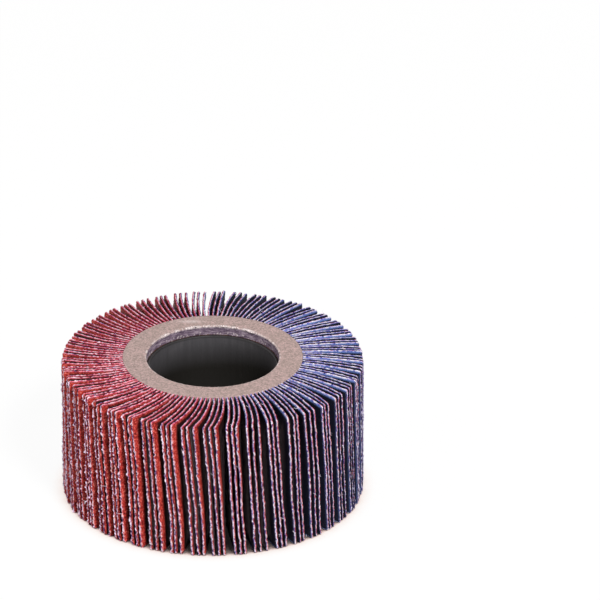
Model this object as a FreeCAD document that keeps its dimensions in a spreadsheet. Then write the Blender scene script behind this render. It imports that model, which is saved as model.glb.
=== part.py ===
import FreeCAD, Part
import math
import os
import Sketcher

# Flap wheel of coated cloth, standing on its face.
# Millimetres and degrees. The origin is on the wheel's axis at its lower face, and +Z runs up the axis.
# Turns round the axis are anticlockwise as seen from above.

# Driving sizes: alias, value and meaning
SIZES = [
    ("wheel_diameter", 105.0, "over the flap tips"),
    ("wheel_width", 50.8, "between the outer faces of the two rings"),
    ("bore_diameter", 44.0, "inside the liner tube"),
    ("tube_wall", 1.0, "wall of the liner tube"),
    ("resin_wall", 0.55, "least resin between the tube and the flap roots"),
    ("resin_depth", 5.5, "how far the resin reaches up the flaps from their roots"),
    ("root_web", 0.15, "least resin between two flap roots"),
    ("ring_thickness", 3.3, "thickness of a fibre ring"),
    ("ring_width", 8.2, "from the bore of a fibre ring to its edge"),
    ("ring_bore_gap", 0.15, "how far the bore of a ring stands back from the outside of the tube"),
    ("ring_bevel", 0.3, "bevel at the mouth of a ring"),
    ("bunch_count", 45, "bunches of flaps round the wheel"),
    ("flaps_per_bunch", 3, "flaps whose tips lie together"),
    ("first_turn", -0.4, "where round the wheel the root of the first flap stands"),
    ("flap_thickness", 0.85, "cloth and its coat of grain"),
    ("corner_drop", 0.8, "how far the upper outer corner of a flap lies below the ring's face"),
    ("tip_sweep", 4.0, "mean clockwise turn of the upper corners behind the roots"),
    ("sweep_change", 1.6, "how much that turn grows and shrinks round the wheel"),
    ("fullest_sweep", 230.0, "where round the wheel it is largest"),
    ("tip_skew", 3.8, "turn of the lower corners ahead of the upper ones"),
    ("bunch_closing", 0.37, "share of the gap between two tips that a bunch closes"),
    ("closing_change", 0.15, "how much that share varies from bunch to bunch"),
    ("seat_gap", 0.05, "film of glue at each seat"),
]

# Sizes that follow from the driving ones: name and formula
FOLLOWING = [
    ("tube_radius", "Sizes.bore_diameter / 2 + Sizes.tube_wall"),
    ("flap_count", "Sizes.bunch_count * Sizes.flaps_per_bunch"),
    ("slot_width", "Sizes.flap_thickness + 2 * Sizes.seat_gap"),
    ("crowded_radius", "Fits.flap_count * (Fits.slot_width + Sizes.root_web) / (2 * pi)"),
    ("walled_radius", "Fits.tube_radius + Sizes.seat_gap + Sizes.resin_wall"),
    ("root_radius", "max(Fits.crowded_radius; Fits.walled_radius)"),
    ("resin_radius", "Fits.root_radius + Sizes.resin_depth"),
    ("ring_bore_radius", "Fits.tube_radius + Sizes.ring_bore_gap"),
    ("ring_radius", "Fits.ring_bore_radius + Sizes.ring_width"),
    ("notch_radius", "Fits.ring_radius + Sizes.seat_gap"),
    ("notch_depth", "Sizes.ring_thickness + Sizes.seat_gap"),
    ("core_length", "Sizes.wheel_width - 2 * Fits.notch_depth"),
]

# The outer part of a flap bends in this many flat panels above its lower triangle
BEND_PANELS = 3
# The bend tightens towards the tip: a turn grows with this power of the way out
BEND_POWER = 1.5
# Steps of the two slow waves that make the bunches uneven, in radians from bunch to bunch
CLOSING_STEP = 2.4
WANDER_STEP = 1.7
# Share of a closed gap by which the middle of a bunch wanders
WANDER_SHARE = 0.35

UP = FreeCAD.Vector(0, 0, 1)


def make_sizes(doc):
    """The sheet of driving sizes, and the set of values that follow from them."""
    sheet = doc.addObject("Spreadsheet::Sheet", "Sizes")
    for row, (alias, value, meaning) in enumerate(SIZES, start=1):
        sheet.set("A%d" % row, meaning)
        sheet.set("B%d" % row, str(value))
        sheet.setAlias("B%d" % row, alias)
    doc.recompute()
    fits = doc.addObject("App::VarSet", "Fits")
    for name, formula in FOLLOWING:
        fits.addProperty("App::PropertyFloat", name)
        fits.setExpression(name, formula)
    doc.recompute()
    return sheet, fits


def make_body(doc, label):
    """An empty body with its label."""
    body = doc.addObject("PartDesign::Body", label)
    body.Label = label
    return body


def origin_feature(body, role):
    """The origin plane or axis of a body with the given role."""
    return next(item for item in body.Origin.OriginFeatures if item.Role == role)


def make_sketch(body, name, role):
    """A sketch on one of the body's origin planes."""
    sketch = body.newObject("Sketcher::SketchObject", name)
    sketch.AttachmentSupport = [(origin_feature(body, role), "")]
    sketch.MapMode = "FlatFace"
    return sketch


def draw_circle(sketch, name, formula):
    """A circle about the origin whose radius is a formula."""
    circle = sketch.addGeometry(Part.Circle(FreeCAD.Vector(), UP, 1.0))
    sketch.addConstraint(Sketcher.Constraint("Coincident", circle, 3, -1, 1))
    radius = sketch.addConstraint(Sketcher.Constraint("Radius", circle, 1.0))
    sketch.renameConstraint(radius, name)
    sketch.setExpression("Constraints." + name, formula)


def draw_outline(sketch, corners):
    """A closed outline of straight lines; each corner is its name and two formulas, across and up."""
    guesses = []
    for name, across, up in corners:
        guesses.append(FreeCAD.Vector(sketch.evalExpression(across), sketch.evalExpression(up), 0))
    for start, end in zip(guesses, guesses[1:] + guesses[:1]):
        sketch.addGeometry(Part.LineSegment(start, end))
    count = len(corners)
    for line in range(count):
        sketch.addConstraint(Sketcher.Constraint("Coincident", line, 2, (line + 1) % count, 1))
    for line, (name, across, up) in enumerate(corners):
        place = guesses[line]
        for kind, value, formula in (("DistanceX", place.x, across), ("DistanceY", place.y, up)):
            distance = sketch.addConstraint(Sketcher.Constraint(kind, -1, 1, line, 1, value))
            label = name + "_" + kind[-1].lower()
            sketch.renameConstraint(distance, label)
            sketch.setExpression("Constraints." + label, formula)


def make_tube(doc):
    """The liner tube of the bore: it runs from ring to ring, under the inner edges of both."""
    body = make_body(doc, "bore_tube")
    sketch = make_sketch(body, "TubeSection", "XY_Plane")
    draw_circle(sketch, "bore", "Sizes.bore_diameter / 2")
    draw_circle(sketch, "outside", "Fits.tube_radius")
    pad = body.newObject("PartDesign::Pad", "TubePad")
    pad.Profile = sketch
    pad.setExpression("Length", "Fits.core_length")
    body.setExpression("Placement.Base.z", "Fits.notch_depth")
    return body


def make_resin(doc):
    """The cast resin round the tube: a thick ring with one slot for the root of each flap."""
    body = make_body(doc, "resin_core")
    section = make_sketch(body, "ResinSection", "XY_Plane")
    draw_circle(section, "inside", "Fits.tube_radius + Sizes.seat_gap")
    draw_circle(section, "outside", "Fits.resin_radius")
    pad = body.newObject("PartDesign::Pad", "ResinPad")
    pad.Profile = section
    pad.setExpression("Length", "Fits.core_length")
    doc.recompute()

    slot = make_sketch(body, "RootSlot", "XY_Plane")
    inner = "Fits.root_radius - Sizes.seat_gap"
    outer = "Fits.resin_radius + Fits.slot_width"
    draw_outline(slot, [
        ("inner_right", inner, "-Fits.slot_width / 2"),
        ("outer_right", outer, "-Fits.slot_width / 2"),
        ("outer_left", outer, "Fits.slot_width / 2"),
        ("inner_left", inner, "Fits.slot_width / 2"),
    ])
    pocket = body.newObject("PartDesign::Pocket", "SlotPocket")
    pocket.Profile = slot
    pocket.Type = "ThroughAll"
    pocket.Reversed = True
    doc.recompute()

    slots = body.newObject("PartDesign::PolarPattern", "SlotPattern")
    slots.Originals = [pocket]
    slots.Axis = (origin_feature(body, "Z_Axis"), [""])
    slots.Angle = 360
    slots.setExpression("Occurrences", "Fits.flap_count")
    body.Tip = slots
    body.setExpression("Placement.Base.z", "Fits.notch_depth")
    body.setExpression("Placement.Rotation.Angle", "Sizes.first_turn * 1 deg")
    return body


def make_ring(doc, label, upper):
    """A punched fibre ring, bevelled at its mouth: upright at the top, turned over at the bottom."""
    body = make_body(doc, label)
    section = make_sketch(body, label + "_section", "XZ_Plane")
    draw_outline(section, [
        ("bore_under", "Fits.ring_bore_radius", "0"),
        ("edge_under", "Fits.ring_radius", "0"),
        ("edge_face", "Fits.ring_radius", "Sizes.ring_thickness"),
        ("mouth_face", "Fits.ring_bore_radius + Sizes.ring_bevel", "Sizes.ring_thickness"),
        ("mouth_bore", "Fits.ring_bore_radius", "Sizes.ring_thickness - Sizes.ring_bevel"),
    ])
    turned = body.newObject("PartDesign::Revolution", label + "_revolution")
    turned.Profile = section
    turned.ReferenceAxis = (origin_feature(body, "Z_Axis"), [""])
    turned.Angle = 360
    if upper:
        body.setExpression("Placement.Base.z", "Sizes.wheel_width - Sizes.ring_thickness")
    else:
        body.Placement = FreeCAD.Placement(FreeCAD.Vector(), FreeCAD.Rotation(FreeCAD.Vector(1, 0, 0), 180))
        body.setExpression("Placement.Base.z", "Sizes.ring_thickness")
    return body


def turned_point(radius, turn, height):
    """A point at a radius and a height, turned from the plane of the flap's root."""
    angle = math.radians(turn)
    return FreeCAD.Vector(radius * math.cos(angle), radius * math.sin(angle), height)


def thick_sheet(panels, rim, thickness):
    """The solid of a folded sheet: its flat panels on both sides, and a band along its rim."""
    half = FreeCAD.Vector(0, thickness / 2, 0)
    faces = []
    for panel in panels:
        for side in (half, -half):
            corners = [point + side for point in panel]
            faces.append(Part.Face(Part.makePolygon(corners + corners[:1])))
    for start, end in zip(rim, rim[1:] + rim[:1]):
        band = [start - half, end - half, end + half, start + half]
        faces.append(Part.Face(Part.makePolygon(band + band[:1])))
    shell = Part.makeShell(faces)
    shell.sewShape()
    solid = Part.makeSolid(shell)
    if solid.Volume < 0:
        solid.reverse()
    return solid


def flap_solid(sheet, fits, top_turn, foot_turn):
    """One flap, its root plane along +X: a flat root between the rings, and outside them a lower
    triangle and a fan of panels that bend to the upper corner, so that the outer edge leans."""
    tip = sheet.wheel_diameter / 2
    top = sheet.wheel_width
    ring = fits.notch_radius
    under_notch = fits.notch_depth
    over_notch = top - fits.notch_depth
    root_foot = turned_point(fits.root_radius, 0, under_notch)
    notch_foot = turned_point(ring, 0, under_notch)
    inner_foot = turned_point(ring, 0, 0)
    outer_foot = turned_point(tip, foot_turn, 0)
    notch_top = turned_point(ring, 0, over_notch)
    root_top = turned_point(fits.root_radius, 0, over_notch)
    upper_edge = []
    for step in range(BEND_PANELS + 1):
        way = step / BEND_PANELS
        radius = ring + (tip - ring) * way
        upper_edge.append(turned_point(radius, top_turn * way ** BEND_POWER, top - sheet.corner_drop * way))
    panels = [[root_foot, notch_foot, notch_top, root_top]]
    panels.append([inner_foot, outer_foot, upper_edge[0], notch_top, notch_foot])
    for near, far in zip(upper_edge, upper_edge[1:]):
        panels.append([outer_foot, far, near])
    rim = [root_foot, notch_foot, inner_foot, outer_foot]
    rim += upper_edge[::-1]
    rim += [notch_top, root_top]
    return thick_sheet(panels, rim, sheet.flap_thickness)


def bunch_turn(sheet, number):
    """Where round the wheel the root of a bunch's first flap stands."""
    return sheet.first_turn + 360 * number / sheet.bunch_count


def bunch_shape(sheet, fits, number):
    """The flaps of one bunch, the first in the plane of +X: their roots stand evenly, their tips close up."""
    pitch = 360 / fits.flap_count
    around = bunch_turn(sheet, number)
    tip_gap = pitch - math.degrees(sheet.flap_thickness / (sheet.wheel_diameter / 2))
    closing = sheet.bunch_closing + sheet.closing_change * math.sin(CLOSING_STEP * number)
    wander = WANDER_SHARE * closing * tip_gap * math.sin(WANDER_STEP * number)
    sweep = sheet.tip_sweep + sheet.sweep_change * math.cos(math.radians(around - sheet.fullest_sweep))
    middle = (sheet.flaps_per_bunch - 1) / 2
    flaps = []
    for place in range(int(sheet.flaps_per_bunch)):
        off_middle = place - middle
        pull = -off_middle * closing * tip_gap
        if off_middle == 0:
            pull += wander
        top_turn = pull - sweep
        flap = flap_solid(sheet, fits, top_turn, top_turn + sheet.tip_skew)
        flap.rotate(FreeCAD.Vector(), UP, place * pitch)
        flaps.append(flap)
    return Part.makeCompound(flaps)


def make_bunch(doc, sheet, fits, number):
    """One bunch of flaps in its place round the wheel."""
    label = "flap_bunch_%02d" % (number + 1)
    bunch = doc.addObject("Part::Feature", label)
    bunch.Label = label
    bunch.Shape = bunch_shape(sheet, fits, number)
    bunch.Placement = FreeCAD.Placement(FreeCAD.Vector(), FreeCAD.Rotation(UP, bunch_turn(sheet, number)))
    return bunch


def check_model(doc, subparts):
    """Stop if a feature failed or a sub-part has no sound shape."""
    for item in doc.Objects:
        if "Invalid" in item.State or "Error" in item.State:
            raise RuntimeError("feature failed: " + item.Label)
    for subpart in subparts:
        if subpart.Shape.isNull() or not subpart.Shape.isValid() or not subpart.Shape.Solids:
            raise RuntimeError("no sound shape: " + subpart.Label)


def main():
    """Build the wheel and write each sub-part."""
    doc = FreeCAD.newDocument("FlapWheel")
    sheet, fits = make_sizes(doc)
    subparts = [
        make_tube(doc),
        make_resin(doc),
        make_ring(doc, "upper_ring", True),
        make_ring(doc, "lower_ring", False),
    ]
    for number in range(int(sheet.bunch_count)):
        subparts.append(make_bunch(doc, sheet, fits, number))
    doc.recompute()
    check_model(doc, subparts)
    os.makedirs("parts", exist_ok=True)
    for subpart in subparts:
        subpart.Shape.exportStep(os.path.join("parts", subpart.Label + ".step"))


main()
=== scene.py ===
import math

import bpy
import numpy as np
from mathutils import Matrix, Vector


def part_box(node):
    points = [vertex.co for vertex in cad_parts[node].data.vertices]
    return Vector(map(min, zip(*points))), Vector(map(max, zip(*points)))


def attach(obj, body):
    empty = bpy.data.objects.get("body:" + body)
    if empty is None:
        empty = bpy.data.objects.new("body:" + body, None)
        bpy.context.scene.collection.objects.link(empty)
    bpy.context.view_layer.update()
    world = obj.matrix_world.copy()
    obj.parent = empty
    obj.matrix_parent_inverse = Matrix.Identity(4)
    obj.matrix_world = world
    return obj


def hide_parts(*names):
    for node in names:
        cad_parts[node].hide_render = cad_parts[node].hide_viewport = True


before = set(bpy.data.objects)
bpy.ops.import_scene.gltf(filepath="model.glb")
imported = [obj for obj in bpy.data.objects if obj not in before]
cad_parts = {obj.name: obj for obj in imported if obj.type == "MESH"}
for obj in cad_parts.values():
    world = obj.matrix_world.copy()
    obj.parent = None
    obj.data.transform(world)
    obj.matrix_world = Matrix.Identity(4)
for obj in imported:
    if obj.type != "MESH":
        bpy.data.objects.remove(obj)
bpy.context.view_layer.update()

# A flap wheel of coated cloth, standing on its face. Meshes are worked out in millimetres and stored in
# metres. Turns round the axis are in degrees, anticlockwise as seen from above, from +X.
MM = 0.001
TO_MM = 1000.0

# Seeds of the random draws
BUNCH_SEED, UPPER_SEED, LOWER_SEED, LINER_SEED = 1000, 7, 8, 9

# The mesh of a flap: a cap along its cut edge, a band inside that and a grid inside the band
RIM_STEP, CORNER_ROUND, BAND_WIDTH, GRID_MARGIN = 0.38, 0.7, 0.5, 1.3
GRID_COLUMNS, GRID_ROWS = 11, 19
# The film of glue round a ring
SEAT_GAP = 0.05
# CAD corners this near to the least or the greatest radius are at a flap's root or tip
CORNER_REACH = 0.5
# A flap's turn grows with this power of the way out, its waves and drop up to this share of it
BEND_POWER, PAST_TIP = 1.5, 1.2
# Places of a flap's materials
COAT_FACE, CLOTH_FACE, COAT_EDGE, CLOTH_EDGE, THREAD = range(5)
# From these angles on, in degrees, an edge is sharp
FLAP_SHARP, RING_SHARP, LINER_SHARP = 62, 55, 50

# The cap's lines, from the coat to the cloth: where each stands across the flap, as a share of the half
# thickness, and how many of the strips between them are coat
CAP_SIDES = np.array([1.0, 0.85, 0.5, 0.16, -0.12, -0.5, -0.84, -1.0])
COAT_STRIPS = 3
# The cap on the outer edge, where the frayed cloth stands proud, and on the rounded ends: its reach in
# millimetres, how rough each line is, how bright its painted shade leaves it, and how spotted
OUTER_CAP = np.array([
    [0.0, 0.11, 0.16, 0.15, 0.24, 0.3, 0.2, 0.0],
    [0.3, 0.8, 1.0, 1.4, 2.0, 1.5, 1.0, 0.4],
    [0.2, 0.8, 1.0, 0.6, 0.88, 0.85, 0.15, 0.0],
    [0.5, 1.6, 2.6, 3.4, 3.8, 3.2, 1.4, 0.5],
])
END_CAP = np.array([
    [0.0, 0.13, 0.26, 0.35, 0.38, 0.25, 0.09, 0.0],
    [0.3, 0.7, 0.8, 0.9, 1.0, 1.0, 0.8, 0.4],
    [0.0, 0.35, 0.85, 1.0, 1.0, 0.75, 0.35, 0.25],
    [0.4, 1.0, 1.3, 1.3, 1.5, 1.3, 0.9, 0.5],
])
# How clean the cloth is on each line: next to the coat it is stained, towards its back it is blue-white
OUTER_CLEAN = np.array([0.0, 0.0, 0.05, 0.2, 0.45, 0.6, 0.8, 1.0])
END_CLEAN = np.array([0.0, 0.0, 0.0, 0.15, 0.65, 0.95, 1.0, 1.0])
# The stain spreads with wear, which raises that share to a power
STAIN_BY_WEAR, STAIN_BASE = 3.1, -0.58
# What is left of each line's brightness where a neighbour of the bunch shades its flank
SHADED_COAT = np.array([0.0, 0.05, 0.85, 1.0, 1.0, 1.0, 1.0, 1.0])
SHADED_CLOTH = np.array([1.0, 1.0, 1.0, 1.0, 1.0, 0.3, 0.0, 0.0])
# What is left of it where the edge isn't worn: there painted shade keeps the coat's side of it dark
SLIM = np.array([0.0, 0.0, 0.7, 1.0, 1.0, 1.0, 1.0, 1.0])
# How much sooner painted shade darkens a face with another of its bunch close in front, and the most
# for coat at an end
CLOSE, CLOSE_TOP = 3.0, 2.6

# Stretches round the wheel: the turn of the middle and half the width. The left side is the most worn
WORN, LEAST_WEAR = (219, 46), 0.35
# At the back on the left the flaps stand apart, and the painted shade on their coat starts further in
APART, APART_SHADE_DEPTH = (118, 24), 0.04
# Painted light pales the faces deep in the gaps at the front
GAP_LIGHT = (262, 45)
# At the back on the right painted shade darkens the cloth almost up to the cut edge
BACK_RIGHT_SHADE, BACK_RIGHT_SHADE_DEPTH = (74, 20), 2.5

# The cut edge's relief outwards: weave, swells, beads of frayed fibre and lint, how common beads and lint
# are, its least and most, and its share without wear and what wear adds
OUT_WEAVE, OUT_SWELL, OUT_BEADS, OUT_LINT = 0.05, 0.04, 0.17, 0.14
BEAD_SHARE, LINT_SHARE = 0.07, 0.004
OUT_LEAST, OUT_MOST = -0.2, 0.4
OUT_BASE, OUT_WEAR = 0.3, 1.1
# How pale these are, and the corners and the stretch by the ring
PALE_BEADS, PALE_WEAVE, PALE_GRAIN, PALE_LINT, PALE_CORNER, PALE_RING = 0.9, 0.2, 0.35, 2.5, 2.5, 0.3
# Its relief sideways: grain, fraying with wear, and swells without wear and with it
SIDE_GRAIN, SIDE_FRAY, SIDE_SWELL, SIDE_WEAR = 0.05, 0.15, 0.02, 0.04
# Waves up a flap, its bunch's and its own: depth, how many up its height, and where in radians they start
BUNCH_WAVE = (0.1, 0.3), (0.4, 1.1)
OWN_WAVE = (0.02, 0.09), (1.2, 2.6)
OWN_WAVES, WAVE_START = 2, 6.28
# How unlike its neighbours a flap is: stretch outwards, and turn and drop of its upper corner
STRETCH = (-0.012, 0.006)
UNLIKE = 0.12

# Loose threads: radius, depth of their root and least length
TUFTS_PER_FLAP, THREADS_PER_TUFT = 2, 4
THREAD_RINGS, THREAD_SIDES = 5, 3
THREAD_RADIUS, THREAD_ROOT, THREAD_LEAST = 0.085, 0.15, 0.2

# The fibre rings: steps round the wheel, and their section as distances from the edge or the bore and
# below the face
RING_STEPS = 540
EDGE_CORNERS = ((0.0, 0.9), (0.0, 0.22), (0.05, 0.06), (0.2, 0.0))
MOUTH_CORNERS = ((0.34, 0.02), (0.16, 0.1), (0.04, 0.24))
# The punch tore the fibre mostly along the back of the bore, where the pale lip is also a painted highlight
TORN_AND_LIT = (96, 50)
# Spots of glue at the foot of the bore's wall
GLUE = (172, 26)
# A smear of glue on the upper ring
SMEAR_PLACE, SMEAR_SIZE = (-8.0, 26.6), (3.6, 0.9)

# The liner: steps round the wheel, its lip's section as distances from the inside and from the end, and
# its seam, whose slant is in degrees to the millimetre
LINER_STEPS = 360
LIP_CORNERS = ((0.3, 0.0), (0.1, 0.08), (0.0, 0.3))
SEAM, SEAM_SLANT, SEAM_DEPTH = (118, 0.9), 0.6, 0.09
# Painted shade down the liner: where it starts and is full, and the turn where it is darker still
SHADE_START_DEPTH, SHADE_FULL_DEPTH = 2.0, 13.0
SHADED_SIDE = (25, 40)

# The floor, and the halo round the wheel's foot, from the shade outwards: a painted shadow whose pink is
# painted light reflected from the flaps
FLOOR_REACH = 6.0
FLOOR_COLOUR = (0.88, 0.87, 0.87, 1)
FLOOR_GLOW, FLOOR_SEEN = 1.02, 0.93
HALO_REACH = 0.014
HALO = (
    (0.26, 0.01, 0.008, 0.008, 1),
    (0.38, 0.74, 0.5, 0.46, 1),
    (0.5, 0.92, 0.79, 0.74, 1),
    (0.62, 0.985, 0.95, 0.93, 1),
    (0.74, 1, 1, 1, 1),
)
HALO_SAMPLES = 12
WORLD_COLOUR, WORLD_STRENGTH = (1.0, 0.99, 0.98, 1), 0.26

# The lamps: turn, rise, distance, power and size. The key stands a little to the right of the camera
KEY = (296, 45, 2.2, 44, 0.4)
FILL = (190, 20, 1.6, 7, 0.8)
LAMP_AIM = Vector((0, 0, 0.025))

# The camera
AIM = Vector((0.03036, 0.0, 0.07266))
CAMERA_DISTANCE, CAMERA_ELEVATION, CAMERA_LENS = 3.0, 26.74, 519.0


def box_mm(node):
    """Lowest and highest corner of a CAD node in millimetres."""
    low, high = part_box(node)
    return np.array(low) * TO_MM, np.array(high) * TO_MM


def corners_mm(node):
    """The vertices of a CAD node in millimetres."""
    return np.array([vertex.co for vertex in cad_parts[node].data.vertices]) * TO_MM


def bore_radius(node):
    """The smallest radius of a CAD node in millimetres."""
    points = corners_mm(node)
    return np.hypot(points[:, 0], points[:, 1]).min()


UPPER_LOW, UPPER_HIGH = box_mm("upper_ring")
RING_RADIUS = (UPPER_HIGH[0] - UPPER_LOW[0]) / 2
RING_BORE = bore_radius("upper_ring")
WHEEL_WIDTH = UPPER_HIGH[2]
NOTCH_RADIUS = RING_RADIUS + SEAT_GAP


# Materials


def paint(red, green, blue):
    """A colour as seen on a screen, 0 to 255, in the linear values that shaders take."""
    linear = []
    for value in (red, green, blue):
        part = value / 255
        linear.append(part / 12.92 if part <= 0.04045 else ((part + 0.055) / 1.055) ** 2.4)
    return (*linear, 1.0)


class Nodes:
    """The nodes of a material or a world, added and joined by short calls."""

    def __init__(self, tree):
        self.tree = tree

    def put(self, value, socket):
        """Gives a socket a constant, or a link from another node's output."""
        if isinstance(value, bpy.types.NodeSocket):
            self.tree.links.new(value, socket)
        else:
            socket.default_value = value

    def node(self, kind, inputs):
        """Adds a node of a kind and fills its inputs."""
        node = self.tree.nodes.new("ShaderNode" + kind)
        for socket, value in inputs.items():
            self.put(value, node.inputs[socket])
        return node

    def maths(self, operation, first, second):
        """One step of arithmetic."""
        node = self.node("Math", {0: first, 1: second})
        node.operation = operation
        return node.outputs[0]

    def plus(self, first, second):
        """The sum of two values."""
        return self.maths("ADD", first, second)

    def times(self, first, second):
        """The product of two values."""
        return self.maths("MULTIPLY", first, second)

    def ramp(self, value, *stops):
        """A colour for each value: a stop is a place from 0 to 1, and a colour to paint or a linear one."""
        node = self.node("ValToRGB", {"Fac": value})
        elements = node.color_ramp.elements
        while len(elements) < len(stops):
            elements.new(0.5)
        for element, (place, *shade) in zip(elements, stops):
            element.position = place
            element.color = paint(*shade) if len(shade) == 3 else shade
        return node.outputs["Color"]

    def seen_directly(self):
        """1 for rays from the camera, a reflection or through glass, else 0."""
        path = self.node("LightPath", {}).outputs
        seen = self.maths("MAXIMUM", path["Is Camera Ray"], path["Is Glossy Ray"])
        return self.maths("MAXIMUM", seen, path["Is Transmission Ray"])

    def end_mixed(self, share, first, second, output):
        """Leads a mix of two shaders to the output."""
        mix = self.node("MixShader", {0: share, 1: first.outputs[0], 2: second.outputs[0]})
        self.put(mix.outputs[0], self.tree.nodes[output].inputs["Surface"])


class Shading(Nodes):
    """A material under construction, round a Principled shader."""

    def __init__(self, name, roughness, specular):
        self.material = bpy.data.materials.new(name)
        self.material.use_nodes = True
        super().__init__(self.material.node_tree)
        self.shader = self.tree.nodes["Principled BSDF"]
        self.put(roughness, self.shader.inputs["Roughness"])
        self.put(specular, self.shader.inputs["Specular IOR Level"])

    def place(self):
        """Position in the frame, in metres."""
        return self.node("TexCoord", {}).outputs["Object"]

    def attribute(self, name, output="Fac"):
        """A value stored on the mesh."""
        node = self.node("Attribute", {})
        node.attribute_name = name
        return node.outputs[output]

    def stretched(self, vector, scale):
        """A position scaled by a factor along each axis."""
        node = self.node("VectorMath", {0: vector, 1: scale})
        node.operation = "MULTIPLY"
        return node.outputs[0]

    def noise(self, vector, size_mm, detail=2.0, roughness=0.55):
        """Noise whose lumps are about size_mm across, from 0 to 1."""
        inputs = {"Vector": vector, "Scale": TO_MM / size_mm, "Detail": detail, "Roughness": roughness}
        return self.node("TexNoise", inputs).outputs["Fac"]

    def cells(self, vector, size_mm, output="Distance"):
        """Grains about size_mm across."""
        return self.node("TexVoronoi", {"Vector": vector, "Scale": TO_MM / size_mm}).outputs[output]

    def blend(self, share, first, second, mode="MIX"):
        """Two colours mixed by a share from 0 to 1."""
        node = self.node("Mix", {})
        node.data_type = "RGBA"
        node.blend_type = mode
        self.put(share, node.inputs["Factor"])
        self.put(first, node.inputs[6])
        self.put(second, node.inputs[7])
        return node.outputs[2]

    def between(self, value, low, high):
        """0 below low, 1 above high, smooth between."""
        node = self.node("MapRange", {"Value": value, "From Min": low, "From Max": high})
        node.interpolation_type = "SMOOTHSTEP"
        return node.outputs["Result"]

    def deep(self, behind, below):
        """0 near the outer edge and the ends of a flap, 1 deep between its neighbours."""
        first = self.between(self.attribute("behind"), *behind)
        second = self.between(self.attribute("below"), *below)
        return self.maths("MINIMUM", first, second)

    def lit_in_gaps(self, colour, gap_light):
        """A flap's face, made paler deep in the gaps at the front by painted light."""
        share = self.times(self.deep((3.0, 8.0), (2.5, 11.0)), self.attribute("gap_light"))
        return self.blend(share, colour, gap_light)

    def cut_edge(self):
        """Fine grains of a cut edge, each lighter or darker, and the same with the mesh's own spots."""
        place = self.place()
        soft = self.noise(place, 0.95, 2.0, 0.6)
        grain = self.cells(place, 0.95, "Color")
        fine = self.plus(self.times(soft, 0.45), self.times(grain, 0.55))
        return fine, self.plus(fine, self.times(self.attribute("fleck"), 0.1))

    def crowned(self, colour, shadow, flank):
        """A cut edge's colour, that goes over to its flanks' and to a painted shadow below them as its
        painted brightness falls.
        """
        bright = self.attribute("bright")
        lower = self.blend(self.between(bright, 0.0, 0.3), shadow, flank)
        return self.blend(bright, lower, colour)

    def tinted(self, colour, reach):
        """A colour made lighter or darker by the flap's own tone, from -1 to 1."""
        factor = self.plus(self.times(self.attribute("tone"), reach), 1.0)
        return self.blend(1.0, colour, factor, "MULTIPLY")

    def finish(self, colour, height=None, depth_mm=0.0):
        """Sets the colour, and a bump of a height whose full reach is depth_mm."""
        self.put(colour, self.shader.inputs["Base Color"])
        if height is not None:
            bump = self.node("Bump", {"Distance": depth_mm * MM, "Height": height})
            self.put(bump.outputs["Normal"], self.shader.inputs["Normal"])
        return self.material


def coat_face_material():
    """Grains of abrasive in red-brown resin."""
    look = Shading("coat_face", 0.62, 0.25)
    place = look.place()
    grain = look.cells(place, 0.42)
    fine = look.noise(place, 0.7, 3.0, 0.75)
    broad = look.noise(place, 5.0, 3.0)
    mixed = look.plus(look.times(fine, 0.8), look.times(broad, 0.2))
    colour = look.ramp(
        mixed, (0.37, 80, 13, 15), (0.46, 158, 37, 32), (0.54, 202, 60, 50), (0.65, 238, 134, 120)
    )
    colour = look.tinted(colour, 0.12)
    # Painted shade: the face darkens deep between its neighbours
    deep = look.deep((1.5, 3.1), (0.35, 1.7))
    colour = look.blend(deep, colour, paint(44, 14, 13))
    colour = look.lit_in_gaps(colour, paint(180, 163, 166))
    return look.finish(colour, look.plus(look.times(grain, 0.8), fine), 0.16)


def cloth_face_material():
    """The back of the cloth: a fine twill in blue-violet."""
    look = Shading("cloth_face", 0.78, 0.2)
    place = look.place()
    twill = {"Scale": TO_MM / 1.1, "Distortion": 0.6, "Detail": 2.0}
    weave = look.node("TexWave", {"Vector": look.attribute("flat", "Vector"), **twill})
    weave.bands_direction = "DIAGONAL"
    threads = weave.outputs["Fac"]
    broad = look.noise(place, 6.0, 3.0)
    fine = look.noise(place, 0.5, 2.0, 0.7)
    shade = look.times(look.plus(threads, 1.4), look.plus(fine, broad))
    colour = look.ramp(shade, (0.4, 40, 58, 122), (0.75, 70, 96, 168), (1.0, 106, 134, 204))
    colour = look.tinted(colour, 0.14)
    # Painted shade: the face darkens deep between its neighbours
    deep = look.deep((-0.5, 0.9), (0.35, 1.35))
    colour = look.blend(deep, colour, paint(21, 24, 43))
    colour = look.lit_in_gaps(colour, paint(178, 165, 170))
    return look.finish(colour, look.plus(threads, fine), 0.06)


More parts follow.
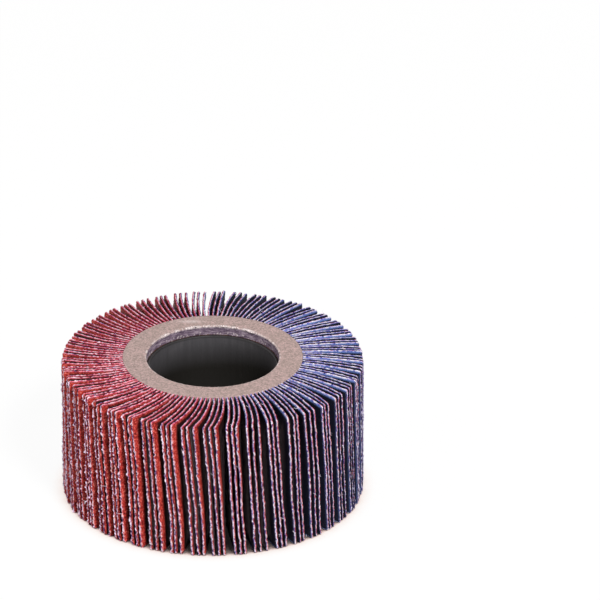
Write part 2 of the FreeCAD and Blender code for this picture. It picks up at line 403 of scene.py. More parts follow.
def cloth_edge_material():
    """The cut edge of the cloth: pale lilac fibres with dark pits."""
    look = Shading("cloth_edge", 0.85, 0.15)
    fine, value = look.cut_edge()
    frayed = look.ramp(
        value, (0.39, 50, 6, 44), (0.46, 146, 38, 80), (0.56, 212, 104, 156), (0.69, 248, 226, 250)
    )
    even = look.ramp(
        value, (0.27, 92, 24, 60), (0.37, 196, 136, 158), (0.52, 234, 194, 208), (0.7, 255, 250, 253)
    )
    stained = look.ramp(
        value, (0.26, 92, 16, 46), (0.38, 200, 78, 106), (0.54, 238, 134, 160), (0.74, 253, 210, 224)
    )
    clean = look.ramp(
        value, (0.22, 46, 54, 120), (0.34, 122, 130, 206), (0.47, 196, 194, 242), (0.62, 246, 245, 255)
    )
    worn = look.attribute("worn")
    at_end = look.attribute("at_end")
    near_coat = look.blend(at_end, look.blend(worn, even, frayed), stained)
    colour = look.blend(look.attribute("clean"), near_coat, clean)
    flank = look.blend(worn, paint(76, 75, 150), paint(106, 46, 98))
    flank = look.blend(at_end, flank, paint(54, 76, 152))
    # Painted shade: by its stored brightness the edge goes over to its flanks' colour and a painted shadow
    colour = look.crowned(look.tinted(colour, 0.1), paint(12, 13, 36), flank)
    return look.finish(colour, fine, 0.1)


def coat_edge_material():
    """The cut edge of the coat: broken grains, dark red to pink."""
    look = Shading("coat_edge", 0.7, 0.25)
    fine, value = look.cut_edge()
    worn = look.ramp(
        value, (0.28, 84, 10, 20), (0.4, 180, 40, 40), (0.54, 230, 84, 78), (0.72, 250, 198, 198)
    )
    even = look.ramp(
        value, (0.28, 108, 24, 34), (0.4, 204, 84, 82), (0.54, 240, 144, 138), (0.7, 254, 228, 224)
    )
    ends = look.ramp(
        value, (0.26, 96, 12, 34), (0.38, 204, 60, 82), (0.54, 246, 122, 142), (0.74, 252, 192, 206)
    )
    outer = look.blend(look.attribute("worn"), even, worn)
    colour = look.blend(look.attribute("at_end"), outer, ends)
    colour = look.blend(look.attribute("clean"), colour, paint(206, 180, 222))
    # Painted shade: by its stored brightness the edge goes over to its flanks' colour and a painted shadow
    colour = look.crowned(look.tinted(colour, 0.1), paint(72, 11, 19), paint(134, 26, 36))
    return look.finish(colour, fine, 0.12)


def thread_material():
    """Loose threads and lint."""
    look = Shading("thread", 0.9, 0.1)
    fine = look.noise(look.place(), 0.8)
    return look.finish(look.ramp(fine, (0.35, 226, 212, 236), (0.65, 255, 250, 255)))


def ring_material():
    """Pressed fibre board: beige-grey with pink and green-grey flecks, torn and pale where it is cut, with
    a painted highlight on the bore's lip.
    """
    look = Shading("fibre", 0.58, 0.3)
    place = look.place()
    broad = look.noise(place, 9.0, 2.0)
    fleck = look.noise(place, 0.7, 3.0, 0.75)
    fine = look.noise(place, 0.4, 2.0, 0.7)
    face = look.ramp(fleck, (0.36, 141, 123, 117), (0.5, 183, 159, 153), (0.64, 219, 184, 181))
    share = look.ramp(broad, (0.35, 0, 0, 0, 1), (0.7, 0.4, 0.4, 0.4, 1))
    face = look.blend(share, face, paint(174, 154, 144))
    share = look.ramp(fine, (0.3, 0.5, 0.5, 0.5, 1), (0.55, 0, 0, 0, 1))
    face = look.blend(share, face, paint(128, 108, 106))
    streak = look.noise(look.stretched(place, (0.3, 0.3, 1.6)), 0.9, 3.0, 0.7)
    wall = look.ramp(streak, (0.34, 78, 63, 80), (0.5, 128, 109, 127), (0.68, 190, 172, 184))
    colour = look.blend(look.attribute("wall"), face, wall)
    # Torn fibre and glue, and a painted highlight on the bore's lip, are pale
    colour = look.blend(look.attribute("torn_and_highlight"), colour, paint(244, 230, 228))
    return look.finish(colour, look.plus(look.times(fleck, 0.7), fine), 0.07)


def liner_material():
    """The liner tube: dark and smooth, with faint streaks from drawing."""
    look = Shading("liner", 0.5, 0.25)
    place = look.place()
    streak = look.noise(look.stretched(place, (1.0, 1.0, 0.12)), 1.6, 3.0, 0.65)
    patch = look.noise(place, 12.0, 2.0)
    value = look.times(streak, patch)
    colour = look.ramp(value, (0.1, 75, 73, 76), (0.28, 83, 81, 84), (0.45, 94, 91, 94))
    # Painted shade: further down from the mouth the tube is darker
    colour = look.blend(look.attribute("down"), colour, paint(26, 24, 21))
    return look.finish(colour, streak, 0.01)


def resin_material():
    """Cast resin: dark amber, glossy and lumpy."""
    look = Shading("resin", 0.34, 0.45)
    lumps = look.noise(look.place(), 2.6, 2.0)
    colour = look.ramp(lumps, (0.3, 46, 28, 20), (0.55, 84, 54, 36), (0.75, 120, 84, 56))
    return look.finish(colour, lumps, 0.25)


# Reading the flaps of a CAD node


def islands(node):
    """The separate solids of a CAD node, each as its corners in millimetres."""
    corners, owner = np.unique(np.round(corners_mm(node), 3), axis=0, return_inverse=True)
    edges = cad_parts[node].data.edges
    ends = owner.reshape(-1)[np.array([edge.vertices[:] for edge in edges])]
    label = np.arange(len(corners))
    before = None
    while not np.array_equal(label, before):
        before = label.copy()
        np.minimum.at(label, ends, label[ends].min(axis=1)[:, None])
    return [corners[label == mark] for mark in np.unique(label)]


def turn_of(points):
    """Where round the axis the middle of some points lies, in degrees."""
    middle = points.mean(axis=0)
    return math.degrees(math.atan2(middle[1], middle[0]))


def short_turn(angle):
    """The same turn between -180 and 180."""
    return (angle + 180) % 360 - 180


def near_turn(turn, middle, reach):
    """1 at a turn and less away from it, smooth, down to 0."""
    return np.exp(-((short_turn(turn - middle) / reach) ** 2))


def read_flap(corners):
    """The sizes of one flap from its CAD corners."""
    radius = np.hypot(corners[:, 0], corners[:, 1])
    near = corners[radius < radius.min() + CORNER_REACH]
    far = radius > radius.max() - CORNER_REACH
    low = corners[far & (corners[:, 2] < WHEEL_WIDTH / 2)]
    high = corners[far & (corners[:, 2] > WHEEL_WIDTH / 2)]
    root = turn_of(near)
    return {
        "root": root,
        "foot": short_turn(turn_of(low) - root),
        "top": short_turn(turn_of(high) - root),
        "tip_radius": math.hypot(*high[:, :2].mean(axis=0)),
        "root_radius": math.hypot(*near[:, :2].mean(axis=0)),
        "half": math.hypot(*(near[:, :2] - near[:, :2].mean(axis=0)).T.max(axis=1)),
        "drop": WHEEL_WIDTH - high[:, 2].mean(),
        "notch": near[:, 2].min(),
    }


# The pattern of vertices and faces that every flap has


def rim_path(length, height):
    """The outline of a flap outside the rings, from the foot round to the top: points, outward directions
    and distances along it."""
    across = length - CORNER_ROUND
    up = height - 2 * CORNER_ROUND
    quarter = math.pi / 2
    bend = quarter * CORNER_ROUND
    total = 2 * across + up + 2 * bend
    way = np.linspace(0, total, int(round(total / RIM_STEP)) + 1)
    past_foot = np.clip((way - across) / CORNER_ROUND, 0, quarter)
    past_top = np.clip((way - across - bend - up) / CORNER_ROUND, 0, quarter)
    angle = past_foot + past_top - quarter
    outward = np.column_stack((np.cos(angle), np.sin(angle)))
    out = np.minimum(np.minimum(way, total - way), across)
    rise = CORNER_ROUND + np.clip(way - across - bend, 0, up)
    return np.column_stack((out, rise)) + CORNER_ROUND * outward, outward, way


def grid_rim(grid):
    """The outer vertices of a grid, from the foot round to the top."""
    return np.concatenate((grid[0], grid[1:, -1], grid[-1, -2::-1]))


def zipper(first, first_way, second, second_way):
    """Triangles between two lines of vertices, stepping along whichever is behind."""
    faces = []
    here = there = 0
    for step in np.concatenate((first_way[1:], second_way[1:])).argsort(kind="stable"):
        if step < len(first) - 1:
            faces.append((first[here], first[here + 1], second[there]))
            here += 1
        else:
            faces.append((first[here], second[there + 1], second[there]))
            there += 1
    return faces


class FlapPattern:
    """Vertices of a flap on its flat cloth (out, up, side) and its faces with their materials."""

    def __init__(self, flap):
        self.length = flap["tip_radius"] - NOTCH_RADIUS
        self.notch = flap["notch"]
        self.root_out = flap["root_radius"] - NOTCH_RADIUS
        self.places, self.outward, self.side = [], [], []
        self.faces, self.materials = [], []
        self.count = 0
        self.make_vertices()
        self.make_faces()
        self.places = np.concatenate(self.places)
        self.outward = np.concatenate(self.outward)
        self.side = np.concatenate(self.side)
        self.flat = np.column_stack((self.places, self.side)) * MM
        out, up = self.places.T
        self.behind = self.length - out
        self.below = np.minimum(WHEEL_WIDTH - up, 2 * up)
        end = np.abs(self.outward[:len(self.way), 1])
        self.at_end = self.on_cap(np.tile(end, len(self.cap)))
        self.clean = self.on_cap(OUTER_CLEAN[:, None] * (1 - end) + END_CLEAN[:, None] * end)

    def on_cap(self, values):
        """A value for each vertex, from those of the cap: 0 elsewhere."""
        spread = np.zeros(self.count)
        spread[:values.size] = values.ravel()
        return spread

    def bright(self, coat_open, cloth_open, back_right_shade, wear):
        """How bright the painted shade leaves each vertex of the cap, for a flap whose coat or cloth is
        open to a wide gap.
        """
        share = 1 - (1 - wear) * (1 - SLIM)
        share = share * (1 if coat_open else SHADED_COAT) * (1 if cloth_open else SHADED_CLOTH)
        # Painted shade darkens the cloth's flank at the back right
        share = share * (1 - back_right_shade * (1 - SHADED_CLOTH))
        return self.on_cap(self.cap_bright * share[:, None])

    def add(self, places, outward, side):
        """Adds a block of vertices and gives their numbers."""
        places = np.asarray(places, float).reshape(-1, 2)
        start = self.count
        self.count += len(places)
        self.places.append(places)
        self.outward.append(np.broadcast_to(np.asarray(outward, float), places.shape))
        self.side.append(np.full(len(places), side))
        return np.arange(start, self.count)

    def make_vertices(self):
        """The cap's lines, a band inside each, a grid on each side and the root between the rings."""
        base, outward, way = rim_path(self.length, WHEEL_WIDTH)
        self.way = way
        end = np.abs(outward[:, 1])
        shape = OUTER_CAP[:, :, None] * (1 - end) + END_CAP[:, :, None] * end
        reach, self.cap_rough, self.cap_bright, self.cap_spots = shape
        deepest = reach.max(axis=0)
        self.cap = []
        for side, line in zip(CAP_SIDES, reach - deepest):
            self.cap.append(self.add(base + outward * line[:, None], outward, side))
        band = base - outward * (deepest.max() + BAND_WIDTH)
        rows = np.linspace(self.notch, WHEEL_WIDTH - self.notch, GRID_ROWS)
        root = [(self.root_out, up) for up in rows]
        rows = [GRID_MARGIN, *rows, WHEEL_WIDTH - GRID_MARGIN]
        columns = np.linspace(0, self.length - GRID_MARGIN, GRID_COLUMNS)
        grid = [(out, up) for up in rows for out in columns]
        shape = (len(rows), len(columns))
        self.band = [self.add(band, outward, side) for side in (1.0, -1.0)]
        self.grid = [self.add(grid, (0, 0), side).reshape(shape) for side in (1.0, -1.0)]
        self.root = [self.add(root, (0, 0), side) for side in (1.0, -1.0)]
        edge = np.concatenate(self.places)[grid_rim(self.grid[0])]
        gaps = np.linalg.norm(band[None] - edge[:, None], axis=2)
        self.edge_way = np.maximum.accumulate(way[gaps.argmin(axis=1)])

    def face(self, corners, material=CLOTH_EDGE):
        """Adds one face."""
        self.faces.append(tuple(int(corner) for corner in corners))
        self.materials.append(material)

    def make_faces(self):
        """All faces, wound alike on both sides."""
        for line in range(len(self.cap) - 1):
            one, two = self.cap[line], self.cap[line + 1]
            material = COAT_EDGE if line < COAT_STRIPS else CLOTH_EDGE
            for step in range(len(one) - 1):
                self.face((one[step], one[step + 1], two[step + 1], two[step]), material)
        self.side_faces(COAT_FACE, self.cap[0])
        self.side_faces(CLOTH_FACE, self.cap[-1])
        self.root_faces()

    def side_faces(self, side, rim):
        """The flat of one side: band, zipper, grid and root. The side's number is its material's too."""
        band = self.band[side]
        grid = self.grid[side]
        root = self.root[side]
        flip = slice(None) if side else slice(None, None, -1)
        for step in range(len(rim) - 1):
            self.face((rim[step], rim[step + 1], band[step + 1], band[step])[flip], side)
        for corners in zipper(band, self.way, grid_rim(grid), self.edge_way):
            self.face(corners[flip], side)
        for row, above in zip(grid, grid[1:]):
            for column in range(len(row) - 1):
                self.face((row[column], row[column + 1], above[column + 1], above[column])[flip], side)
        for row in range(len(root) - 1):
            self.face((root[row], grid[row + 1, 0], grid[row + 2, 0], root[row + 1])[flip], side)

    def root_faces(self):
        """The narrow faces round the root and at the notches."""
        coat, cloth = self.root
        front, back = (grid[1:-1, 0] for grid in self.grid)
        self.face((front[0], back[0], cloth[0], coat[0])[::-1])
        self.face((front[-1], back[-1], cloth[-1], coat[-1]))
        for row in range(len(coat) - 1):
            self.face((coat[row], cloth[row], cloth[row + 1], coat[row + 1])[::-1])
        for end, inner in ((0, 1), (-1, -2)):
            loop = [line[end] for line in self.cap]
            loop += [self.band[1][end], self.grid[1][end, 0], self.grid[1][inner, 0]]
            loop += [self.grid[0][inner, 0], self.grid[0][end, 0], self.band[0][end]]
            self.face(loop[::-1] if end else loop)


# One flap and one bunch


def smooth_noise(chance, count, lumps):
    """A smooth random line of count values with about so many lumps."""
    knots = chance.normal(size=max(4, int(lumps) + 3))
    return np.interp(np.linspace(0, len(knots) - 1, count), np.arange(len(knots)), knots)


def lumps(values):
    """Random values along the edge, each spread over its neighbours."""
    padded = np.pad(values, ((0, 0), (1, 1)), mode="edge")
    return 0.25 * padded[:, :-2] + values + 0.25 * padded[:, 2:]


def rim_relief(pattern, chance, wear):
    """How far each vertex of the cap stands out and sideways, in millimetres, and how pale it is."""
    count = len(pattern.way)
    size = (len(pattern.cap), count)
    to_ring = pattern.way[-1] - pattern.way
    broad = smooth_noise(chance, count, pattern.way[-1] / 1.5)
    grain = chance.normal(size=size)
    weave = lumps(grain)
    beads = chance.random(size=size) < BEAD_SHARE
    beads = lumps(beads * chance.uniform(0.5, 1.2, size=size))
    lint = lumps(lumps((chance.random(size=size) < LINT_SHARE) * 1.6))
    # Where the flap meets the ring, glue fills the relief and torn fibre makes it pale
    near_ring = np.exp(-((to_ring / 0.8) ** 2))
    by_ring = np.exp(-(to_ring / 6.0))
    corner = np.abs(pattern.outward[:count, 0] * pattern.outward[:count, 1])
    pale = PALE_BEADS * beads + PALE_WEAVE * weave + PALE_GRAIN * grain
    pale = pale * pattern.cap_spots * (0.5 + wear)
    pale += PALE_RING * by_ring + PALE_CORNER * corner + PALE_LINT * lint
    out = OUT_WEAVE * weave + OUT_SWELL * broad + OUT_BEADS * beads + OUT_LINT * lint
    out = np.clip(out * (OUT_BASE + OUT_WEAR * wear), OUT_LEAST, OUT_MOST) * pattern.cap_rough
    out *= 1 - 0.6 * near_ring
    bend = smooth_noise(chance, count, pattern.way[-1] / 1.1)
    fray = lumps(chance.normal(size=(1, count))) * np.abs(pattern.outward[:count, 0]) * wear
    sideways = SIDE_GRAIN * lumps(chance.normal(size=size)) + SIDE_FRAY * fray
    sideways += (SIDE_SWELL + SIDE_WEAR * wear) * (broad + bend)
    return out, sideways, pale


def wave(chance, depth, ups):
    """A slow wave up a flap: depth in millimetres, ups and start."""
    return chance.uniform(*depth), chance.uniform(*ups), chance.uniform(0, WAVE_START)


def flap_surface(flap, swing, out, up):
    """The middle of the flap's thickness at points of its flat cloth, in millimetres."""
    share = np.clip(out / flap["length"], 0, None)
    level = up / WHEEL_WIDTH
    turn = (1 - level) * flap["foot"] * share + level * flap["top"] * share**BEND_POWER
    radius = NOTCH_RADIUS + out * flap["stretch"]
    drift = np.zeros_like(radius)
    for depth, ups, start in swing:
        drift += depth * np.sin(2 * math.pi * ups * level + start)
    turn += np.degrees(drift * np.minimum(share, PAST_TIP) / radius)
    angle = np.radians(flap["root"] + turn)
    height = level * (WHEEL_WIDTH - flap["drop"] * np.minimum(share, PAST_TIP))
    return np.stack((radius * np.cos(angle), radius * np.sin(angle), height), axis=1)


def flap_points(pattern, flap, chance, common):
    """The vertices of one flap in its place, and how pale each is; common is its bunch's wave."""
    relief, sideways, pale = map(pattern.on_cap, rim_relief(pattern, chance, flap["wear"]))
    out, up = (pattern.places + relief[:, None] * pattern.outward).T
    swing = [common] + [wave(chance, *OWN_WAVE) for _ in range(OWN_WAVES)]
    step = 0.05
    middle = flap_surface(flap, swing, out, up)
    along = flap_surface(flap, swing, out + step, up) - middle
    rising = flap_surface(flap, swing, out, up + step) - middle
    normal = np.cross(rising, along)
    normal /= np.linalg.norm(normal, axis=1)[:, None]
    points = middle + normal * (pattern.side * flap["half"] + sideways)[:, None]
    points[:, 2] = np.maximum(points[:, 2], 0.0)
    return points, pale


def thread_mesh(starts, outward, chance):
    """Fine curved threads that stand out from the cut edges."""
    count = len(starts)
    heading = outward * 0.5 + chance.normal(size=(count, 3)) * 0.6
    heading /= np.linalg.norm(heading, axis=1)[:, None]
    curl = chance.normal(size=(count, 3)) * 0.7
    length = chance.gamma(2.0, 0.14, size=count) + THREAD_LEAST
    across = np.cross(heading, chance.normal(size=(count, 3)))
    across /= np.linalg.norm(across, axis=1)[:, None]
    other = np.cross(heading, across)
    points = []
    for ring in range(THREAD_RINGS):
        way = ring / (THREAD_RINGS - 1)
        middle = starts + (heading * way + curl * way**2) * length[:, None]
        thick = THREAD_RADIUS * (1 - 0.5 * way)
        for corner in range(THREAD_SIDES):
            angle = 2 * math.pi * corner / THREAD_SIDES
            points.append(middle + thick * (across * math.cos(angle) + other * math.sin(angle)))
    points = np.stack(points, axis=1).reshape(-1, 3)
    points[:, 2] = np.maximum(points[:, 2], 0.02)
    return points, thread_faces(count)


def thread_faces(count):
    """The sides and the far end of as many threads."""
    faces = []
    last = (THREAD_RINGS - 1) * THREAD_SIDES
    for base in range(0, count * (last + THREAD_SIDES), last + THREAD_SIDES):
        for one in range(base, base + last):
            two = one + 1 if (one + 1 - base) % THREAD_SIDES else one + 1 - THREAD_SIDES
            faces.append((one, two, two + THREAD_SIDES, one + THREAD_SIDES))
        faces.append(tuple(range(base + last, base + last + THREAD_SIDES)))
    return faces


def flap_threads(pattern, points, flap, chance):
    """Loose threads along the cut edge of one flap."""
    lines = np.repeat(chance.integers(4, 7, size=TUFTS_PER_FLAP), THREADS_PER_TUFT)
    steps = np.repeat(chance.integers(20, len(pattern.way) - 3, size=TUFTS_PER_FLAP), THREADS_PER_TUFT)
    picks = np.array([pattern.cap[line][step] for line, step in zip(lines, steps)])
    angle = math.radians(flap["root"] + flap["top"] / 2)
    axes = np.array([(math.cos(angle), math.sin(angle), 0.0), (0.0, 0.0, 1.0)])
    outward = pattern.outward[picks] @ axes
    return thread_mesh(points[picks] - outward * THREAD_ROOT, outward, chance)


def set_attribute(mesh, name, values, kind="FLOAT"):
    """Stores a value on each vertex."""
    layer = mesh.attributes.new(name, kind, "POINT")
    field = "vector" if kind == "FLOAT_VECTOR" else "value"
    layer.data.foreach_set(field, np.asarray(values, np.float32).ravel())


def add_object(name, data):
    """Puts a mesh, a lamp or a camera into the scene."""
    body = bpy.data.objects.new(name, data)
    bpy.context.scene.collection.objects.link(body)
    return body


def add_facing(name, data, place, aim):
    """Puts a lamp or a camera in its place, turned to a point."""
    body = add_object(name, data)
    body.location = place
    body.rotation_euler = (aim - place).to_track_quat("-Z", "Y").to_euler()
    return body


def make_object(name, points, faces, materials, indices, sharp):
    """A mesh object from points in millimetres, smooth up to a sharp angle in degrees."""
    mesh = bpy.data.meshes.new(name)
    mesh.from_pydata((points * MM).tolist(), [], faces)
    for material in materials:
        mesh.materials.append(material)
    mesh.polygons.foreach_set("material_index", np.asarray(indices, np.int32))
    mesh.update()
    mesh.shade_smooth()
    mesh.set_sharp_from_angle(angle=math.radians(sharp))
    return add_object(name, mesh)


class Gathering:
    """A mesh that grows block by block, with the values that the shaders read from its vertices."""

    def __init__(self):
        self.points, self.faces, self.indices, self.flat = [], [], [], []
        names = ("fleck", "behind", "below", "bright", "at_end", "clean", "worn", "gap_light", "tone")
        self.values = {name: [] for name in names}
        self.count = 0

    def add(self, points, faces, indices, flat, values):
        """Adds a block. A value that isn't given is 0 all over it."""
        self.points.append(points)
        self.faces += [tuple(corner + self.count for corner in face) for face in faces]
        self.indices += indices
        self.flat.append(flat)
        for name, blocks in self.values.items():
            blocks.append(np.broadcast_to(values.get(name, 0.0), len(points)))
        self.count += len(points)

    def make(self, name, materials):
        """The mesh object, with its values stored."""
        points = np.concatenate(self.points)
        piece = make_object(name, points, self.faces, materials, self.indices, FLAP_SHARP)
        for value_name, blocks in self.values.items():
            set_attribute(piece.data, value_name, np.concatenate(blocks))
        set_attribute(piece.data, "flat", np.concatenate(self.flat), "FLOAT_VECTOR")
        return piece


def vary_flap(flap, pattern, chance):
    """Gives a flap its wear, and its own stretch, drop and lean."""
    flap["length"] = pattern.length
    flap["wear"] = LEAST_WEAR + (1 - LEAST_WEAR) * near_turn(flap["root"], *WORN)
    flap["stretch"] = 1 + chance.uniform(*STRETCH)
    flap["drop"] += chance.normal() * UNLIKE
    flap["top"] += chance.normal() * UNLIKE


def flap_values(pattern, flap, coat_open, cloth_open):
    """How deep, bright in painted shade, clean and worn the vertices of a flap are, and how much painted
    light pales them, for the shaders.
    """
    apart = near_turn(flap["root"], *APART)
    back_right_shade = near_turn(flap["root"], *BACK_RIGHT_SHADE)
    # Painted shade deep in the gaps starts further in where the flaps stand apart
    coat = (1.0 if coat_open else CLOSE) * APART_SHADE_DEPTH**apart
    # Painted shade on the cloth starts nearer the edge at the back right
    cloth = (1.0 if cloth_open else CLOSE) * BACK_RIGHT_SHADE_DEPTH**back_right_shade
    on_coat = pattern.side > 0
    return {
        "behind": pattern.behind * np.where(on_coat, coat, cloth),
        "below": pattern.below * np.where(on_coat, min(coat, CLOSE_TOP), cloth),
        "bright": pattern.bright(coat_open, cloth_open, back_right_shade, flap["wear"]),
        "at_end": pattern.at_end,
        "clean": pattern.clean ** (STAIN_BY_WEAR * flap["wear"] + STAIN_BASE + apart),
        "worn": flap["wear"],
        "gap_light": near_turn(flap["root"], *GAP_LIGHT),
    }


def make_bunch(number, pattern, materials):
    """One bunch of flaps, in place of its CAD node."""
    node = "flap_bunch_%02d" % number
    chance = np.random.default_rng(BUNCH_SEED + number)
    common = wave(chance, *BUNCH_WAVE)
    solids = islands(node)
    middle = turn_of(np.concatenate(solids))
    flaps = sorted(map(read_flap, solids), key=lambda flap: short_turn(flap["root"] - middle))
    mesh = Gathering()
    for place, flap in enumerate(flaps):
        vary_flap(flap, pattern, chance)
        points, pale = flap_points(pattern, flap, chance, common)
        values = flap_values(pattern, flap, place == len(flaps) - 1, place == 0)
        values.update(fleck=pale, tone=chance.uniform(-1, 1))
        mesh.add(points, pattern.faces, pattern.materials, pattern.flat, values)
        threads, faces = flap_threads(pattern, points, flap, chance)
        mesh.add(threads, faces, [THREAD] * len(faces), np.zeros_like(threads), {"fleck": 1.0})
    piece = mesh.make("flaps_%02d" % number, materials)
    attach(piece, "root")
    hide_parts(node)


# The rings and the liner


def ring_profile():
    """The section of the upper ring, radius and height, from the foot of its edge round to its bore."""
    low, high = UPPER_LOW[2], UPPER_HIGH[2]
    section = [(RING_RADIUS, low), (RING_RADIUS, low + 1.1)]
    section += [(RING_RADIUS - inward, high - down) for inward, down in EDGE_CORNERS]
    section += [(radius, high) for radius in np.linspace(RING_RADIUS - 0.5, RING_BORE + 0.62, 15)]
    section += [(RING_BORE + outward, high - down) for outward, down in MOUTH_CORNERS]
    section += [(RING_BORE, height) for height in np.linspace(high - 0.45, low, 8)]
    section += [(RING_BORE + 0.8, low), ((RING_BORE + RING_RADIUS) / 2, low)]
    return np.array(section)


def revolved(section, steps):
    """Turns, radii, heights and faces of a section carried round the axis, section by section."""
    turns = np.arange(steps) * 2 * math.pi / steps
    radius = np.tile(section[:, 0], (steps, 1))
    height = np.tile(section[:, 1], (steps, 1))
    faces = []
    count = len(section)
    for step in range(steps):
        here, after = step * count, (step + 1) % steps * count
        for line in range(count):
            following = (line + 1) % count
            faces.append((here + line, after + line, after + following, here + following))
    return turns, radius, height, faces


def round_object(name, turns, radius, height, faces, material, sharp):
    """A mesh object from the radii and heights of a revolved section."""
    points = np.stack((radius * np.cos(turns)[:, None], radius * np.sin(turns)[:, None], height), axis=2)
    return make_object(name, points.reshape(-1, 3), faces, [material], [0] * len(faces), sharp)


def around(values, chance, rough):
    """A closed random line round the wheel with as many values, smoothed over rough of them."""
    line = chance.normal(size=values)
    spread = np.exp(-np.linspace(-3, 3, 2 * rough + 1) ** 2)
    long = np.concatenate((line[-rough:], line, line[:rough]))
    soft = np.convolve(long, spread, mode="valid")
    return soft / soft.std()


def ring_parts(section):
    """Which lines of the ring's section belong to each of its parts."""
    radius, height = section.T
    low, top = UPPER_LOW[2], UPPER_HIGH[2]
    face = np.isclose(height, top)
    wall = (radius < RING_BORE + 0.05) & (height < top - 0.3)
    return {
        "face": face,
        "beside": face & (radius < RING_BORE + 0.7),
        "mouth": (radius < RING_BORE + 0.4) & (height > top - 0.5),
        "edge": (radius > RING_RADIUS - 0.3) & (height > top - 0.3),
        "wall": wall,
        "foot": wall & (height < low + 1.1),
        "inside": wall | (radius < RING_BORE + 0.2) & (height <= low + 0.2),
    }


def roughen_ring(radius, height, parts, tear, chance):
    """Gives the ring its grain, its torn mouth and its streaked wall."""
    steps = len(radius)
    face, mouth, wall, edge = map(parts.get, ("face", "mouth", "wall", "edge"))
    height[:, face] += 0.02 * chance.normal(size=(steps, face.sum()))
    rough = 0.03 + 0.09 * tear[:, None]
    height[:, mouth] += (tear * 0.34)[:, None] + rough * chance.normal(size=(steps, mouth.sum()))
    radius[:, mouth] -= (tear * 0.3)[:, None] - rough * chance.normal(size=(steps, mouth.sum()))
    streaks = around(steps, chance, 2)[:, None]
    radius[:, wall] += streaks * 0.05 + 0.05 * chance.normal(size=(steps, wall.sum()))
    radius[:, edge] += (0.03 * around(steps, chance, 2))[:, None]


def torn_fibre_and_highlight(turns, radius, parts, tear, upper, chance):
    """How torn and pale the fibre is: at the mouth, beside it, and where glue has stuck to it. The pale
    mouth is also a painted highlight.
    """
    steps = len(radius)
    mouth, beside, foot = map(parts.get, ("mouth", "beside", "foot"))
    torn_and_highlight = np.zeros_like(radius)
    pale_mouth_and_dark_side = np.clip((tear - 0.2) * 2.2, 0, 1)[:, None]
    torn_and_highlight[:, mouth] = np.clip(pale_mouth_and_dark_side * chance.uniform(0.5, 1.3, size=(steps, mouth.sum())), 0, 1)
    thin = np.clip(0.22 + 0.3 * around(steps, chance, 6), 0, 0.7)
    torn_and_highlight[:, mouth] = np.maximum(torn_and_highlight[:, mouth], thin[:, None])
    torn_and_highlight[:, beside] = pale_mouth_and_dark_side * chance.uniform(0.2, 0.9, size=(steps, beside.sum()))
    if upper:
        torn_and_highlight = np.maximum(torn_and_highlight, smear(radius, turns, parts["face"], chance))
    glue = near_turn(np.degrees(turns), *GLUE) + 0.35
    spots = (chance.random(size=(steps, foot.sum())) < 0.16 * glue[:, None]) * 0.9
    torn_and_highlight[:, foot] = np.maximum(torn_and_highlight[:, foot], spots)
    return torn_and_highlight


def smear(radius, turns, on_top, chance):
    """A faint smear of glue on the face of the upper ring."""
    x = radius * np.cos(turns)[:, None] - SMEAR_PLACE[0]
    y = radius * np.sin(turns)[:, None] - SMEAR_PLACE[1]
    far = (x / SMEAR_SIZE[0]) ** 2 + (y / SMEAR_SIZE[1]) ** 2
    return np.exp(-far) * on_top * chance.uniform(0.25, 0.7, size=radius.shape)


def make_ring(name, upper, material, seed):
    """A punched fibre ring with a torn mouth, turned over at the foot of the wheel."""
    chance = np.random.default_rng(seed)
    section = ring_profile()
    parts = ring_parts(section)
    turns, radius, height, faces = revolved(section, RING_STEPS)
    lip = 0.7 * around(RING_STEPS, chance, 2) + 0.7 * around(RING_STEPS, chance, 12)
    back = near_turn(np.degrees(turns), *TORN_AND_LIT)
    tear = np.clip(back * (0.6 + 0.8 * np.clip(lip, -1.6, 1.8)), 0, 1)
    roughen_ring(radius, height, parts, tear, chance)
    torn_and_highlight = torn_fibre_and_highlight(turns, radius, parts, tear, upper, chance)
    if not upper:
        height = WHEEL_WIDTH - height
        faces = [face[::-1] for face in faces]
    height = np.maximum(height, 0.0)
    piece = round_object(name, turns, radius, height, faces, material, RING_SHARP)
    set_attribute(piece.data, "torn_and_highlight", torn_and_highlight)
    set_attribute(piece.data, "wall", np.broadcast_to(parts["inside"], radius.shape))
    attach(piece, "root")
    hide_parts("upper_ring" if upper else "lower_ring")


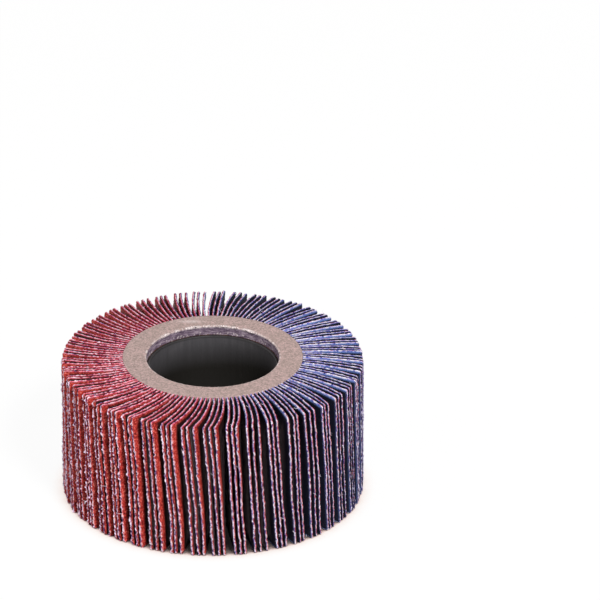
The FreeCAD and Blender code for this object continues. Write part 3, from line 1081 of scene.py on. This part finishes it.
def make_liner(material, seed):
    """The liner tube, with a rounded lip at each end and the faint seam it was rolled with."""
    chance = np.random.default_rng(seed)
    low, high = box_mm("bore_tube")
    outside = (high[0] - low[0]) / 2
    inside = bore_radius("bore_tube")
    bottom, top = low[2], high[2]
    section = [(outside, bottom + 0.15), (outside, top - 0.15), (outside - 0.15, top)]
    section += [(inside + out, top - down) for out, down in LIP_CORNERS]
    section += [(inside, height) for height in np.linspace(top - 1.0, bottom + 1.0, 30)]
    section += [(inside + out, bottom + up) for out, up in LIP_CORNERS[::-1]]
    section = np.array(section + [(outside - 0.15, bottom)])
    turns, radius, height, faces = revolved(section, LINER_STEPS)
    degrees = np.degrees(turns)
    within = section[:, 0] < inside + 0.05
    slant = (height - bottom) * SEAM_SLANT
    seam = near_turn(degrees[:, None] - slant, *SEAM)
    radius[:, within] += (SEAM_DEPTH * seam)[:, within]
    radius[:, within] += 0.012 * around(LINER_STEPS, chance, 3)[:, None]
    piece = round_object("liner", turns, radius, height, faces, material, LINER_SHARP)
    # Painted shade: the tube is darker further from each mouth and darker still on one side
    mouth = np.minimum(top - height, height - bottom)
    pale_mouth_and_dark_side = 0.3 * near_turn(degrees, *SHADED_SIDE)
    down = np.clip((mouth - SHADE_START_DEPTH) / (SHADE_FULL_DEPTH - SHADE_START_DEPTH), 0, 1)
    down = np.clip(down + pale_mouth_and_dark_side[:, None] + 0.08, 0, 1)
    # Painted shade: the narrow end of the tube looks up into the light, and is painted dark against it
    down[:, mouth[0] < 0.5] = 0.75
    set_attribute(piece.data, "down", down)
    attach(piece, "root")
    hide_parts("bore_tube")


# Floor, light and camera


def make_floor():
    """A wide pale floor: white to the camera, but it keeps part of the wheel's shadow."""
    mesh = bpy.data.meshes.new("floor")
    corners = [(x * FLOOR_REACH, y * FLOOR_REACH, 0) for x, y in ((-1, -1), (1, -1), (1, 1), (-1, 1))]
    mesh.from_pydata(corners, [], [(0, 1, 2, 3)])
    material = bpy.data.materials.new("floor_white")
    material.use_nodes = True
    nodes = Nodes(material.node_tree)
    nodes.tree.nodes.remove(nodes.tree.nodes["Principled BSDF"])
    plain = nodes.node("BsdfDiffuse", {"Color": FLOOR_COLOUR})
    open_floor = nodes.node("AmbientOcclusion", {"Distance": HALO_REACH})
    open_floor.samples = HALO_SAMPLES
    # Painted shadow and painted pink light reflected from the flaps, led by the occlusion at the wheel's
    # foot
    halo = nodes.ramp(open_floor.outputs["AO"], *HALO)
    glow = nodes.node("Emission", {"Color": halo, "Strength": FLOOR_GLOW})
    share = nodes.times(nodes.seen_directly(), FLOOR_SEEN)
    nodes.end_mixed(share, plain, glow, "Material Output")
    mesh.materials.append(material)
    add_object("floor", mesh)


def make_world():
    """An even soft light from all round, and white behind."""
    world = bpy.data.worlds.new("studio")
    bpy.context.scene.world = world
    world.use_nodes = True
    nodes = Nodes(world.node_tree)
    soft = nodes.tree.nodes["Background"]
    nodes.put(WORLD_COLOUR, soft.inputs["Color"])
    nodes.put(WORLD_STRENGTH, soft.inputs["Strength"])
    white = nodes.node("Background", {"Color": (1, 1, 1, 1), "Strength": 1.0})
    nodes.end_mixed(nodes.seen_directly(), soft, white, "World Output")


def make_lamp(name, turn, rise, distance, power, size):
    """A square soft lamp that faces the wheel, from a turn round it and a rise above the floor."""
    across, up = math.radians(turn), math.radians(rise)
    heading = Vector((math.cos(up) * math.cos(across), math.cos(up) * math.sin(across), math.sin(up)))
    lamp = bpy.data.lights.new(name, "AREA")
    lamp.energy = power
    lamp.size = size
    add_facing(name, lamp, distance * heading, LAMP_AIM)


def make_camera():
    """A long lens that looks down on the wheel from in front."""
    camera = bpy.data.cameras.new("camera")
    camera.sensor_width = 36
    camera.lens = CAMERA_LENS
    camera.clip_end = 20
    down = math.radians(CAMERA_ELEVATION)
    place = AIM + CAMERA_DISTANCE * Vector((0, -math.cos(down), math.sin(down)))
    bpy.context.scene.camera = add_facing("camera", camera, place, AIM)


def dress_node(node, material):
    """Gives a carried-over CAD node its material."""
    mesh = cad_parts[node].data
    mesh.materials.clear()
    mesh.materials.append(material)


def main():
    """Dresses the frame, and sets light and camera."""
    cloth = [coat_face_material(), cloth_face_material(), coat_edge_material(), cloth_edge_material()]
    cloth.append(thread_material())
    pattern = FlapPattern(read_flap(islands("flap_bunch_01")[0]))
    bunches = sum(name.startswith("flap_bunch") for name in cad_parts)
    for number in range(1, bunches + 1):
        make_bunch(number, pattern, cloth)
    fibre = ring_material()
    make_ring("ring_upper", True, fibre, UPPER_SEED)
    make_ring("ring_lower", False, fibre, LOWER_SEED)
    make_liner(liner_material(), LINER_SEED)
    dress_node("resin_core", resin_material())
    make_floor()
    make_world()
    make_lamp("key", *KEY)
    make_lamp("fill", *FILL)
    make_camera()
    bpy.context.scene.view_settings.view_transform = "Standard"


main()
